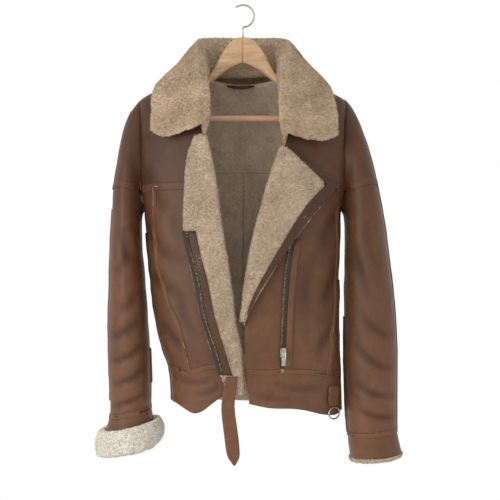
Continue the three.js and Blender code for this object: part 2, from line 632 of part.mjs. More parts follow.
function addHardware() {
  const spot = frontSpot(SLIDER.x, SLIDER.z);
  boxAt('zip_slider', SLIDER, spot, SLIDER.clear, METAL);
  const face = SLIDER.clear + SLIDER.thick + PULL.clear;
  boxAt('pull_tab', PULL, spot, face, METAL, PULL.height / 2 - PULL.above);
  boxAt('zip_stop', STOP, frontSpot(STOP.x, STOP.z), STOP.clear, METAL, STOP.drop);
}

// The loose end of the waist belt: a strip that hangs from the image-left front's lower corner.
const BELT_END = [
  { x: -20, z: -708, w: 11, y: -92.8 }, { x: -23, z: -730, w: 11.5, y: -93 },
  { x: -27, z: -752, w: 12, y: -92.5 }, { x: -27, z: -775, w: 12.5, y: -92 },
  { x: -23, z: -800, w: 13, y: -91 }, { x: -19.5, z: -830, w: 13, y: -91 },
  { x: -17, z: -854, w: 12.5, y: -92 }, { x: -15.5, z: -863, w: 7, y: -92.5 },
  { x: -15, z: -871, w: 1.5, y: -93 },
];
const BELT_THICK = 3;

function addBelt() {
  const grid = (shift) => BELT_END.map(({ x, z, w, y }) => [-1, 0, 1].map(
    (s) => new THREE.Vector3(x + s * w, y - 2 + shift, z)));
  add('belt_end', wall(grid(-BELT_THICK), grid(0)), LEATHER);
}

// The tab on the image-right waistband and the ring that hangs in its fold.
const TAB = { x: 170, z: -750, width: 26, height: 38, thick: 3, clear: 0.6 };
const RING = { reach: 15, wire: 1.8, tall: 0.75, steps: 14, corners: 6, clear: 0.4 };

function addBeltTab() {
  const spot = frontSpot(TAB.x, TAB.z);
  const z = new THREE.Vector3(spot.normal.x, spot.normal.y, 0).normalize();
  boxAt('belt_tab', TAB, spot, TAB.clear, LEATHER);
  const { steps, corners } = RING;
  const points = [];
  const index = [];
  for (let i = 0; i < steps; i += 1) {
    const a = (2 * Math.PI * i) / steps;
    const out = new THREE.Vector3(Math.cos(a), Math.sin(a), 0);
    const middle = new THREE.Vector3(out.x, out.y * RING.tall, 0).multiplyScalar(RING.reach);
    for (let k = 0; k < corners; k += 1) {
      const b = (2 * Math.PI * k) / corners;
      const p = middle.clone().addScaledVector(out, Math.cos(b) * RING.wire);
      points.push(p.add(new THREE.Vector3(0, 0, Math.sin(b) * RING.wire)));
      const n = ((i + 1) % steps) * corners;
      const m = (k + 1) % corners;
      const own = i * corners;
      index.push(own + k, n + k, n + m, own + k, n + m, own + m);
    }
  }
  const up = new THREE.Vector3(0, 0, 1);
  const across = up.clone().cross(z);
  const low = TAB.height / 2 + RING.reach * RING.tall + RING.wire + RING.clear;
  const place = spot.point.clone().addScaledVector(up, -low);
  place.addScaledVector(z, TAB.clear + TAB.thick);
  const frame = new THREE.Matrix4().makeBasis(across, up, z).setPosition(place);
  points.forEach((p) => p.applyMatrix4(frame));
  add('belt_ring', solid(points, index), METAL);
}

// The collar: a stand from the neckline, a roll and a wide leaf, fleece out.
function collarSection(side, row, thickness) {
  const sign = sideSign[side];
  const neck = row.theta === undefined
    ? frontSpot(read(OPENING, 'z', row.neck, sideName[side]), row.neck)
    : spotAt(sign * row.theta, rowHeight(0, side, 1 - (row.theta - 90) / 90, true));
  const foot = neck.point.clone();
  const roll = new THREE.Vector3(row.rx, row.ry, row.rz);
  const edge = new THREE.Vector3(row.ex, row.ey, row.ez);
  const away = new THREE.Vector3(edge.x - foot.x, edge.y - foot.y, 0).normalize();
  const low = new THREE.Vector3(0, 0, -COLLAR_LEAF);
  const inside = roll.clone().addScaledVector(away, -COLLAR_LEAF).add(low);
  const outside = roll.clone().addScaledVector(away, COLLAR_LEAF).add(low);
  const start = foot.clone().lerp(inside, FOOT_LIFT);
  start.z = Math.max(start.z, foot.z + (row.theta === undefined ? 0 : 1));
  const middle = outside.clone().lerp(edge, 0.5);
  middle.z -= row.droop;
  const line = [start, start.clone().lerp(inside, 0.5), inside, roll, outside,
    outside.clone().lerp(middle, 0.5), middle, middle.clone().lerp(edge, 0.5), edge];
  line[7].z -= row.droop * 0.6;
  const plane = new THREE.Vector3().crossVectors(away, new THREE.Vector3(0, 0, 1)).normalize();
  return line.map((p, i) => {
    const tangent = line[Math.min(i + 1, line.length - 1)].clone().sub(line[Math.max(i - 1, 0)]);
    const normal = new THREE.Vector3().crossVectors(tangent, plane).normalize().negate();
    const slim = i === line.length - 1 ? 0.8 : 1;
    return p.clone().addScaledVector(normal, thickness * slim);
  });
}

function addCollar() {
  const along = (side, rows) => rows.map((row) => ({ side, row }));
  const sections = [...along('L', [...COLLAR.L, COLLAR_BACK]),
    ...along('R', [...COLLAR.R].reverse())];
  const grid = (thickness) => sections.map(({ side, row }) => collarSection(side, row, thickness));
  add('collar', wall(grid(COLLAR_THICK), grid(0)), FLEECE);
}

// The loop sewn inside the back neck.
const LOOP = {
  left: -32, right: 22, y: 44.8, z: -150, bow: 6, sag: 2, width: 3, widen: 4, thick: 2, steps: 8,
};

function addHangLoop() {
  const arch = (t) => 4 * t * (1 - t);
  const grid = (shift) => [0, 1].map((edge) => Array.from({ length: LOOP.steps + 1 }, (_, i) => {
    const t = i / LOOP.steps;
    const drop = LOOP.sag * arch(t) + edge * (LOOP.width + LOOP.widen * arch(t));
    const y = LOOP.y - LOOP.bow * arch(t) + shift;
    return new THREE.Vector3(mix(LOOP.left, LOOP.right, t), y, LOOP.z - drop);
  }));
  add('hang_loop', wall(grid(0), grid(LOOP.thick)), LEATHER);
}

function addHanger() {
  const corners = HANGER_CORNERS;
  const squared = (v) => Math.sign(v) * Math.abs(v) ** 0.7;
  ['L', 'R'].forEach((side) => {
    const points = [];
    const index = [];
    HANGER.forEach(({ x, top, bottom, half }) => {
      for (let k = 0; k < corners; k += 1) {
        const a = (2 * Math.PI * (k + 0.5)) / corners;
        const z = (top + bottom) / 2 + ((top - bottom) / 2) * squared(Math.cos(a));
        points.push(new THREE.Vector3(sideSign[side] * x, half * squared(Math.sin(a)), z));
      }
    });
    for (let s = 0; s < HANGER.length - 1; s += 1) {
      for (let k = 0; k < corners; k += 1) {
        const n = (k + 1) % corners;
        const [p, q, r, t] = [s * corners + k, s * corners + n, (s + 1) * corners + n, (s + 1) * corners + k];
        index.push(p, q, r, p, r, t);
      }
    }
    const lastRing = (HANGER.length - 1) * corners;
    for (let k = 1; k < corners - 1; k += 1) {
      index.push(0, k + 1, k, lastRing, lastRing + k, lastRing + k + 1);
    }
    add(`hanger_${side}`, solid(points, index), WOOD);
  });
  const bar = new THREE.CylinderGeometry(BAR.radius, BAR.radius, 2 * BAR.half, 12);
  add('hanger_bar', bar.rotateZ(Math.PI / 2).translate(0, 0, BAR.z), WOOD);
  const middle = -HOOK.bend - HOOK.wire;
  const route = [HOOK.foot, HOOK.foot + HOOK.straight].map((z) => new THREE.Vector3(0, 0, z));
  for (let d = -90; d <= HOOK.lastDegrees; d += 20) {
    const a = THREE.MathUtils.degToRad(d);
    route.push(new THREE.Vector3(Math.cos(a) * HOOK.bend, 0, middle + Math.sin(a) * HOOK.bend));
  }
  const line = new THREE.CatmullRomCurve3(route);
  const section = new THREE.Shape();
  section.absarc(0, 0, HOOK.wire, 0, 2 * Math.PI);
  const wire = new THREE.ExtrudeGeometry(section, {
    steps: 34, curveSegments: 4, bevelEnabled: false, extrudePath: line });
  add('hanger_hook', wire, METAL);
}

['L', 'R'].forEach((side) => {
  addFronts(side);
  addSleeve(side);
  addCuff(side);
});
addBack();
addTurned('L', TURNED_LEFT, LEFT_TURN);
addTurned('R', TURNED_RIGHT, RIGHT_TURN);
addCollar();
addTrim();
addHardware();
addBelt();
addBeltTab();
addHangLoop();
addHanger();

export default jacket;
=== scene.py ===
# A shearling jacket that hangs open on a wooden hanger, photographed square on against white.
# Metres, +Z up, the front faces -Y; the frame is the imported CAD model.
import math

import bmesh
import bpy
import numpy as np
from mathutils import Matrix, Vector, noise
from mathutils.bvhtree import BVHTree


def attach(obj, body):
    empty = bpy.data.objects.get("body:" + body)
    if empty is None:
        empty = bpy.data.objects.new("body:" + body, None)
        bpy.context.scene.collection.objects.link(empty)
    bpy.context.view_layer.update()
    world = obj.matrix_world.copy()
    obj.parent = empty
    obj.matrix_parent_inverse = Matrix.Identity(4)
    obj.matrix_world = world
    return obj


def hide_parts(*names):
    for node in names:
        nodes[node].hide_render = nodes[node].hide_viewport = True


bpy.ops.wm.read_factory_settings(use_empty=True)
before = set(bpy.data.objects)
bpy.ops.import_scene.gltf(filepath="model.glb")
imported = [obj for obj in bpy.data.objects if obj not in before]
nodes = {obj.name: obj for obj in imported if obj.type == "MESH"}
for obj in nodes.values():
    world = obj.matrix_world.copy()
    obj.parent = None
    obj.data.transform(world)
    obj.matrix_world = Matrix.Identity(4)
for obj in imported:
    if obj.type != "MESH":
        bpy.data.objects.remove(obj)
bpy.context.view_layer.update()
MM = 0.001
SIDES = ("L", "R")

# Leather: the skin side of sheepskin, dyed brown, with a soft worn sheen. The colour lies in uneven
# cloudy patches, with painted light and shade by height: darker at the top and paler downwards.


def shader_group(name, outputs):
    group = bpy.data.node_groups.new(name, "ShaderNodeTree")
    for label, kind in outputs:
        group.interface.new_socket(label, in_out="OUTPUT", socket_type=kind)
    return group


def node(tree, kind, values=None, **settings):
    made = tree.nodes.new(kind)
    for key, value in settings.items():
        setattr(made, key, value)
    for key, value in (values or {}).items():
        made.inputs[key].default_value = value
    return made


def mixed(tree, factor, first, second, blend="MIX"):
    made = node(tree, "ShaderNodeMix", data_type="RGBA", blend_type=blend)
    for place, value in ((0, factor), (6, first), (7, second)):
        if isinstance(value, bpy.types.NodeSocket):
            tree.links.new(value, made.inputs[place])
        else:
            made.inputs[place].default_value = value
    return made.outputs[2]


def ramp(tree, value, low, high, start=0.0, end=1.0):
    made = node(tree, "ShaderNodeMapRange", {"From Min": low, "From Max": high})
    made.inputs["To Min"].default_value = start
    made.inputs["To Max"].default_value = end
    tree.links.new(value, made.inputs["Value"])
    return made.outputs["Result"]


def cloud(tree, coords, scale, detail=3.0, rough=0.55):
    made = node(tree, "ShaderNodeTexNoise", {"Scale": scale, "Detail": detail, "Roughness": rough})
    tree.links.new(coords, made.inputs["Vector"])
    return made.outputs["Fac"]


def bumped(tree, height, strength, distance, below=None):
    made = node(tree, "ShaderNodeBump", {"Strength": strength, "Distance": distance})
    tree.links.new(height, made.inputs["Height"])
    if below is not None:
        tree.links.new(below, made.inputs["Normal"])
    return made.outputs["Normal"]


def leather_group():
    tree = shader_group("sheepskin_leather", (
        ("Color", "NodeSocketColor"), ("Roughness", "NodeSocketFloat"), ("Normal", "NodeSocketVector")))
    coords = node(tree, "ShaderNodeTexCoord").outputs["Object"]
    split = node(tree, "ShaderNodeSeparateXYZ")
    tree.links.new(coords, split.inputs[0])
    # Painted light and shade: the leather colour is ramped by height, darker at the top and paler
    # towards the bottom.
    falloff = ramp(tree, split.outputs["Z"], -0.22, -0.72)
    wide = ramp(tree, cloud(tree, coords, 7), 0.35, 0.68)
    close = ramp(tree, cloud(tree, coords, 55, 5, 0.65), 0.3, 0.72)
    base = mixed(tree, falloff, (0.062, 0.024, 0.0085, 1), (0.128, 0.056, 0.0255, 1))
    paler = mixed(tree, 1.0, base, (1.32, 1.3, 1.3, 1), "MULTIPLY")
    patched = mixed(tree, wide, base, paler)
    darker = mixed(tree, 1.0, patched, (0.74, 0.72, 0.7, 1), "MULTIPLY")
    worn = mixed(tree, close, darker, patched)
    # Painted shade: the leather is darkened in its folds, by the fold depth stored on each panel.
    folds = node(tree, "ShaderNodeAttribute", attribute_name="fold").outputs["Fac"]
    shaded = mixed(tree, 1.0, worn, (0.42, 0.38, 0.34, 1), "MULTIPLY")
    colour = mixed(tree, folds, worn, shaded)
    cells = node(tree, "ShaderNodeTexVoronoi", {"Scale": 620.0})
    tree.links.new(coords, cells.inputs["Vector"])
    grain = bumped(tree, cells.outputs["Distance"], 0.25, 0.0006)
    creased = bumped(tree, cloud(tree, coords, 130, 4, 0.6), 0.22, 0.0016, grain)
    out = node(tree, "NodeGroupOutput")
    tree.links.new(colour, out.inputs["Color"])
    tree.links.new(ramp(tree, close, 0, 1, 0.44, 0.6), out.inputs["Roughness"])
    tree.links.new(creased, out.inputs["Normal"])
    return tree


def leather(name, tint=(1, 1, 1, 1)):
    material = bpy.data.materials.new(name)
    material.use_nodes = True
    tree = material.node_tree
    shader = tree.nodes["Principled BSDF"]
    group = node(tree, "ShaderNodeGroup", node_tree=LEATHER_GROUP)
    colour = mixed(tree, 1.0, group.outputs["Color"], tint, "MULTIPLY")
    tree.links.new(colour, shader.inputs["Base Color"])
    tree.links.new(group.outputs["Roughness"], shader.inputs["Roughness"])
    tree.links.new(group.outputs["Normal"], shader.inputs["Normal"])
    shader.inputs["Specular IOR Level"].default_value = 0.3
    return material


LEATHER_GROUP = leather_group()
PANEL_LEATHER = leather("panel_leather")
STRIP_LEATHER = leather("strip_leather", (1.12, 1.1, 1.08, 1))
EDGE_LEATHER = leather("edge_leather", (0.62, 0.56, 0.52, 1))

# Wool: clipped sheepskin, cream to sand, in small soft clumps that catch the light at their tips.
# The wool inside the body is shorter, flatter and darker than that of the collar and the lapel.


def wool_group():
    tree = shader_group("clipped_wool", (
        ("Mottle", "NodeSocketFloat"), ("Clumps", "NodeSocketFloat"), ("Normal", "NodeSocketVector")))
    coords = node(tree, "ShaderNodeTexCoord").outputs["Object"]
    clumps = cloud(tree, coords, 190, 4, 0.7)
    fibres = cloud(tree, coords, 900, 3, 0.6)
    soft = bumped(tree, clumps, 0.8, 0.004)
    normal = bumped(tree, fibres, 0.6, 0.001, soft)
    out = node(tree, "NodeGroupOutput")
    tree.links.new(ramp(tree, cloud(tree, coords, 24), 0.32, 0.7), out.inputs["Mottle"])
    tree.links.new(ramp(tree, clumps, 0.3, 0.68), out.inputs["Clumps"])
    tree.links.new(normal, out.inputs["Normal"])
    return tree


def wool(name, deep, pale):
    material = bpy.data.materials.new(name)
    material.use_nodes = True
    tree = material.node_tree
    shader = tree.nodes["Principled BSDF"]
    group = node(tree, "ShaderNodeGroup", node_tree=WOOL_GROUP)
    mottled = mixed(tree, group.outputs["Mottle"], deep, pale)
    # Painted shade: the wool is darkened in the hollows between its clumps and kept pale on their tips,
    # by the clump height.
    shaded = mixed(tree, 1.0, mottled, (0.72, 0.68, 0.62, 1), "MULTIPLY")
    tree.links.new(mixed(tree, group.outputs["Clumps"], shaded, mottled), shader.inputs["Base Color"])
    tree.links.new(group.outputs["Normal"], shader.inputs["Normal"])
    shader.inputs["Roughness"].default_value = 0.95
    shader.inputs["Specular IOR Level"].default_value = 0.1
    shader.inputs["Sheen Weight"].default_value = 0.35
    shader.inputs["Sheen Roughness"].default_value = 0.6
    return material


WOOL_GROUP = wool_group()
COLLAR_WOOL = wool("collar_wool", (0.43, 0.305, 0.18, 1), (0.6, 0.45, 0.3, 1))
LAPEL_WOOL = wool("lapel_wool", (0.46, 0.34, 0.225, 1), (0.62, 0.49, 0.35, 1))
LINING_WOOL = wool("lining_wool", (0.47, 0.36, 0.25, 1), (0.62, 0.5, 0.37, 1))
CUFF_WOOL = wool("cuff_wool", (0.84, 0.78, 0.68, 1), (0.93, 0.89, 0.82, 1))

# Cut panels: front yokes, centre and side fronts, waistband, back, sleeve heads, sleeves and
# cuffs. Each is one piece of sheepskin, leather out and wool in, with the wall of its CAD node.

# Middle line of each sleeve as (z, x) in metres. The body's middle is drawn towards its sides.
SLEEVE_AXIS = {"L": ((-0.34, -0.216), (-0.56, -0.222), (-0.79, -0.217)),
               "R": ((-0.34, 0.217), (-0.56, 0.24), (-0.83, 0.25))}
BODY_MIDDLE_SHARE = 0.55
WELD = 0.02 * MM


def axis_point(name, at):
    if not name.startswith(("sleeve", "cuff")):
        return Vector((at.x * BODY_MIDDLE_SHARE, 0, at.z))
    (z0, x0), (z1, x1), (z2, x2) = SLEEVE_AXIS[name[-1]]
    z = max(min(at.z, z0), z2)
    if z > z1:
        x = x0 + (x1 - x0) * (z - z0) / (z1 - z0)
    else:
        x = x1 + (x2 - x1) * (z - z1) / (z2 - z1)
    return Vector((x, 0, z))


def out_from(name, at):
    return (at - axis_point(name, at)).normalized()


def outward(name, at, normal):
    return normal.dot(at - axis_point(name, at)) > 0


def quads_of(name):
    bm = bmesh.new()
    bm.from_mesh(nodes[name].data)
    bmesh.ops.remove_doubles(bm, verts=bm.verts, dist=WELD)
    bmesh.ops.join_triangles(bm, faces=bm.faces, angle_face_threshold=math.radians(60),
                             angle_shape_threshold=math.radians(180))
    bmesh.ops.recalc_face_normals(bm, faces=bm.faces)
    return bm


def object_of(bm, name, materials):
    mesh = bpy.data.meshes.new(name)
    bm.to_mesh(mesh)
    bm.free()
    for material in materials:
        mesh.materials.append(material)
    made = bpy.data.objects.new(name, mesh)
    bpy.context.scene.collection.objects.link(made)
    return made


def applied(made):
    graph = bpy.context.evaluated_depsgraph_get()
    graph.update()
    mesh = bpy.data.meshes.new_from_object(made.evaluated_get(graph), depsgraph=graph)
    made.modifiers.clear()
    made.data = mesh
    mesh.name = made.name
    return made


def smooth(made):
    made.data.polygons.foreach_set("use_smooth", [True] * len(made.data.polygons))
    return made


def subdivided(bm, name, materials, levels, crease=50):
    layer = bm.edges.layers.float.get("crease_edge") or bm.edges.layers.float.new("crease_edge")
    for edge in bm.edges:
        if len(edge.link_faces) == 2 and edge.calc_face_angle() > math.radians(crease):
            edge[layer] = 1.0
    made = object_of(bm, name, materials)
    made.modifiers.new("rounding", "SUBSURF").levels = levels
    made.modifiers["rounding"].render_levels = levels
    return smooth(applied(made))


# Folds placed after the photograph's front: end points (x, z), half width and depth, in mm.
# The unseen back repeats them, moved a little aside, so its folds are a guess.
SLEEVE_FOLDS = (
    ((-252, -640), (-196, -612), 9, 3.2), ((-250, -684), (-190, -660), 8, 3.6),
    ((-246, -728), (-186, -702), 8, 3.4), ((-250, -770), (-184, -744), 7, 3.0),
    ((-232, -590), (-200, -560), 10, 2.4), ((-246, -520), (-214, -480), 12, 2.2),
    ((-226, -440), (-206, -500), 12, 2.6), ((214, -470), (236, -560), 12, 2.8),
    ((222, -600), (282, -640), 10, 2.8), ((212, -660), (280, -700), 9, 3.2),
    ((212, -730), (286, -752), 8, 3.4), ((216, -776), (288, -792), 7, 3.0),
    ((230, -420), (252, -520), 11, 2.0),
)
BODY_FOLDS = (
    ((-178, -430), (-130, -500), 14, 2.6), ((-170, -520), (-120, -560), 13, 2.4),
    ((-150, -610), (-110, -660), 11, 2.6), ((-120, -560), (-90, -640), 12, 2.0),
    ((-182, -320), (-150, -400), 13, 2.0), ((-128, -400), (-112, -500), 15, 1.8),
    ((180, -400), (150, -480), 14, 2.4), ((184, -520), (150, -580), 12, 2.4),
    ((130, -480), (112, -600), 15, 2.0), ((172, -620), (140, -680), 11, 2.4),
    ((-130, -715), (-60, -722), 8, 1.8), ((60, -725), (150, -732), 9, 1.8),
    ((-90, -745), (-40, -728), 7, 1.6), ((20, -742), (90, -748), 8, 1.6),
)
BACK_SHIFT = 6.0
# Fold depth in mm at which the painted shade in a fold is darkest.
DARKEST_DIP = 3.5


def fold_depth(x, z, folds):
    depth = np.zeros_like(x)
    for (x0, z0), (x1, z1), half, deep in folds:
        run = np.array((x1 - x0, z1 - z0), float)
        length = np.hypot(*run)
        along = ((x - x0) * run[0] + (z - z0) * run[1]) / length ** 2
        t = np.clip(along, 0, 1)
        bend = 5 * np.sin(t * math.pi) * (1 if (x0 + z1) % 2 else -1) / length
        away_x = x - x0 - run[0] * t + run[1] * bend
        away_z = z - z0 - run[1] * t - run[0] * bend
        falloff = np.sin(math.pi * np.clip(0.08 + 0.84 * along, 0, 1)) ** 0.6
        near = np.hypot(away_x, away_z) / half
        ridge = 0.45 * np.exp(-((near - 1.7) / 0.8) ** 2)
        depth += deep * falloff * (np.exp(-near * near) - ridge)
    return depth


def rumpled(made, name, folds):
    count = len(made.data.vertices)
    flat, normals = np.zeros(count * 3), np.zeros(count * 3)
    made.data.vertices.foreach_get("co", flat)
    made.data.vertex_normals.foreach_get("vector", normals)
    at, normals = flat.reshape(-1, 3), normals.reshape(-1, 3)
    shift = np.where(at[:, 1] > 0, BACK_SHIFT, 0.0)
    dips = fold_depth(at[:, 0] / MM + shift, at[:, 2] / MM + 3 * shift, folds)
    for i in range(count):
        spot, normal = Vector(at[i]), Vector(normals[i])
        if abs(normal.z) > 0.93 or not outward(name, spot, normal):
            continue
        slow = noise.noise(spot * 13 + Vector((3, 0, 7))) * 1.5
        quick = noise.noise(spot * 40) * 0.7
        at[i] += normals[i] * MM * (slow + quick - dips[i] - 0.4)
    made.data.vertices.foreach_set("co", at.ravel())
    # The fold attribute carries painted shade: it darkens the leather colour where a fold dips.
    shade = made.data.attributes.new("fold", "FLOAT", "POINT")
    shade.data.foreach_set("value", np.clip(dips / DARKEST_DIP, 0, 1))
    return made


def panel(name, levels=3):
    bm = quads_of(name)
    for face in bm.faces:
        inner = not outward(name, face.calc_center_median(), face.normal)
        face.material_index = 1 if inner else 0
    made = subdivided(bm, name + "_cloth", (PANEL_LEATHER, LINING_WOOL), levels)
    folds = SLEEVE_FOLDS if name.startswith(("sleeve", "cuff")) else BODY_FOLDS
    return rumpled(made, name, folds)


# Flat cut of each panel: width and length of the piece of skin, in metres, left then right.
PANELS = {
    "front_yoke": ((0.15, 0.22), (0.15, 0.22)), "front_centre": ((0.125, 0.35), (0.175, 0.35)),
    "front_side": ((0.08, 0.31), (0.052, 0.31)), "waistband_front": ((0.16, 0.08), (0.2, 0.08)),
    "sleeve_head_front": ((0.11, 0.12), (0.11, 0.12)),
    "sleeve_head_back": ((0.11, 0.12), (0.11, 0.12)),
    "sleeve_front": ((0.15, 0.42), (0.17, 0.44)), "sleeve_back": ((0.15, 0.42), (0.17, 0.44)),
    "back": ((0.21, 0.37), (0.22, 0.37)), "cuff": ((0.28, 0.04), (0.3, 0.052)),
}
CUTS = {f"{kind}_{side}": size for kind, sizes in PANELS.items() for side, size in zip(SIDES, sizes)}
CUTS.update({"back_yoke": (0.46, 0.18), "waistband_back": (0.37, 0.075)})
cloth = {name: panel(name) for name in CUTS}
for name, made in cloth.items():
    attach(made, "root")
    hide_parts(name)


def tree_of(made_list):
    points, faces = [], []
    for made in made_list:
        first = len(points)
        points += [v.co.copy() for v in made.data.vertices]
        faces += [tuple(first + i for i in p.vertices) for p in made.data.polygons]
    return BVHTree.FromPolygons(points, faces)


SURFACE = tree_of(cloth.values())

# Collar, turned fronts and turned cuff: the same skin rolled over, so that its wool shows. The
# clumps are modelled as small swellings, and loose tufts stand on them and soften the outline.


def swollen(made, amount):
    normals = [vert.normal.copy() for vert in made.data.vertices]
    for vert, normal in zip(made.data.vertices, normals):
        vert.co += normal * MM * amount(vert.co)
    return made


def woolly(name, material, under, levels, swell):
    bm = quads_of(name)
    for face in bm.faces:
        facing = face.normal.dot(out_from(name, face.calc_center_median()))
        free_rim = name == "turned_front_R" and face.normal.x > 0.2 and facing < 0.6
        skin_side = name.startswith("turned") and facing < -0.3
        face.material_index = 1 if skin_side or free_rim else 0
    made = subdivided(bm, name + "_cloth", (material, under), levels, 45)
    return swollen(made, lambda p: swell * (noise.noise(p * 55) + 0.55 * noise.noise(p * 126))
                   + 1.6 * noise.noise(p * 15 + Vector((5, 1, 2))))


def tuft_tree():
    tree = bpy.data.node_groups.new("wool_tufts", "GeometryNodeTree")
    for label, kind in (("Geometry", "Geometry"), ("Density", "Float"), ("Length", "Float"),
                        ("Material", "Material"), ("Seed", "Int")):
        tree.interface.new_socket(label, in_out="INPUT", socket_type="NodeSocket" + kind)
    tree.interface.new_socket("Geometry", in_out="OUTPUT", socket_type="NodeSocketGeometry")
    source = node(tree, "NodeGroupInput").outputs
    link = tree.links.new
    spread = node(tree, "GeometryNodeDistributePointsOnFaces")
    link(source["Geometry"], spread.inputs["Mesh"])
    link(source["Density"], spread.inputs["Density"])
    link(source["Seed"], spread.inputs["Seed"])
    cone = node(tree, "GeometryNodeMeshCone", {"Vertices": 3, "Radius Bottom": 0.32}, fill_type="NONE")
    cone.inputs["Radius Top"].default_value = 0.0
    cone.inputs["Depth"].default_value = 1.0
    tilt = node(tree, "FunctionNodeRandomValue", data_type="FLOAT_VECTOR")
    tilt.inputs[0].default_value = (-0.75, -0.75, 0)
    tilt.inputs[1].default_value = (0.75, 0.75, 6.28)
    turned = node(tree, "FunctionNodeRotateRotation", rotation_space="LOCAL")
    euler = node(tree, "FunctionNodeEulerToRotation")
    link(tilt.outputs[0], euler.inputs[0])
    link(spread.outputs["Rotation"], turned.inputs[0])
    link(euler.outputs[0], turned.inputs[1])
    size = node(tree, "FunctionNodeRandomValue", data_type="FLOAT")
    size.inputs[2].default_value = 0.55
    size.inputs[3].default_value = 1.0
    scaled = node(tree, "ShaderNodeMath", operation="MULTIPLY")
    link(size.outputs[1], scaled.inputs[0])
    link(source["Length"], scaled.inputs[1])
    placed = node(tree, "GeometryNodeInstanceOnPoints")
    for value, place in ((spread.outputs["Points"], "Points"), (cone.outputs["Mesh"], "Instance"),
                         (turned.outputs[0], "Rotation"), (scaled.outputs[0], "Scale")):
        link(value, placed.inputs[place])
    real = node(tree, "GeometryNodeRealizeInstances")
    link(placed.outputs[0], real.inputs[0])
    painted = node(tree, "GeometryNodeSetMaterial")
    link(real.outputs[0], painted.inputs["Geometry"])
    link(source["Material"], painted.inputs["Material"])
    link(painted.outputs[0], node(tree, "NodeGroupOutput").inputs[0])
    return tree


def with_nodes(made, tree, values):
    modifier = made.modifiers.new("parts", "NODES")
    modifier.node_group = tree
    for item in tree.interface.items_tree:
        if item.item_type == "SOCKET" and item.in_out == "INPUT" and item.name in values:
            modifier[item.identifier] = values[item.name]
    return applied(made)


TUFTS = tuft_tree()


def tufted(made, material, density, length, seed):
    tufts = bpy.data.objects.new(made.name.replace("_cloth", "_tufts"), made.data.copy())
    bpy.context.scene.collection.objects.link(tufts)
    values = {"Density": density, "Length": length, "Material": material, "Seed": seed}
    return with_nodes(tufts, TUFTS, values)


WOOL_PIECES = {
    "collar": (COLLAR_WOOL, 3, 1.3, 230000.0, (0.65, 0.17)),
    "turned_front_L": (LAPEL_WOOL, 3, 1.1, 260000.0, (0.08, 0.45)),
    "turned_front_R": (LAPEL_WOOL, 3, 1.1, 260000.0, (0.11, 0.26)),
    "cuff_fleece_L": (CUFF_WOOL, 3, 1.2, 300000.0, (0.32, 0.07)),
    "cuff_fleece_R": (LAPEL_WOOL, 2, 0.5, 200000.0, (0.3, 0.014)),
}
TUFT_LENGTH = 0.0032
tufts = {}
for seed, (name, (material, levels, swell, density, cut)) in enumerate(WOOL_PIECES.items()):
    cloth[name] = woolly(name, material, PANEL_LEATHER, levels, swell)
    tufts[name] = tufted(cloth[name], material, density, TUFT_LENGTH, seed)
    CUTS[name] = cut
    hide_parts(name)
    for made in (cloth[name], tufts[name]):
        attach(made, "root")

# Seams: the panels are lapped and topstitched, so each seam is a low band with a row of stitches
# along both of its edges. The bands follow the shared edges of the panels all round the jacket.


RAY_START = 5 * MM
RAY_REACH = 14 * MM
SEAM_REACH = 2.4 * MM
SKIN_REACH = 4.5 * MM
POINT_SPACE = 3 * MM
LONGEST_STEP = 130 * MM


def laid(tree, at, out):
    hit = tree.ray_cast(at + out * RAY_START, -out, RAY_REACH)
    return hit[0] if hit[0] is not None else tree.find_nearest(at)[0]


def shared_edge(first, second, keep=None):
    tree = BVHTree.FromPolygons([v.co for v in nodes[second].data.vertices],
                                [tuple(p.vertices) for p in nodes[second].data.polygons])
    found = []
    for vert in nodes[first].data.vertices:
        near = tree.find_nearest(vert.co)
        if near[3] > SEAM_REACH:
            continue
        skin = SURFACE.find_nearest(vert.co)
        if not outward(first, vert.co, skin[1]) or skin[3] > SKIN_REACH:
            continue
        probe = vert.co + out_from(first, vert.co) * 3 * MM
        if SURFACE.find_nearest(probe)[3] < 2 * MM:
            continue
        if keep is None or keep(vert.co):
            found.append(vert.co.copy())
    return chained(found)


def chained(points):
    unique = []
    for p in points:
        if all((p - q).length > POINT_SPACE for q in unique):
            unique.append(p)
    if len(unique) < 2:
        return []
    middle = sum(unique, Vector()) / len(unique)
    line = [max(unique, key=lambda p: (p - middle).length)]
    rest = [p for p in unique if p is not line[0]]
    while rest:
        nearest = min(rest, key=lambda p: (p - line[-1]).length)
        if (nearest - line[-1]).length > LONGEST_STEP:
            break
        line.append(nearest)
        rest.remove(nearest)
    return line


def curved(points, step=3.5 * MM):
    if len(points) < 2:
        return []
    ends = [points[0] * 2 - points[1], *points, points[-1] * 2 - points[-2]]
    line = []
    for i in range(1, len(ends) - 2):
        a, b, c, d = ends[i - 1:i + 3]
        count = max(1, round((c - b).length / step))
        for k in range(count):
            t = k / count
            line.append(0.5 * (2 * b + (c - a) * t + (2 * a - 5 * b + 4 * c - d) * t * t
                               + (3 * b - a - 3 * c + d) * t ** 3))
    return line + [points[-1]]


# Share of the half width and rise in mm: the edges tuck under, the stitch rows lie in dips.
BAND_PROFILE = ((-1, -0.8), (-0.95, 1.5), (-0.84, 2.0), (-0.7, 1.5), (-0.45, 2.0), (0, 2.3),
                (0.45, 2.0), (0.7, 1.5), (0.84, 2.0), (0.95, 1.5), (1, -0.8))
STITCH_SHARE = 0.7
STITCH_RISE = 1.6


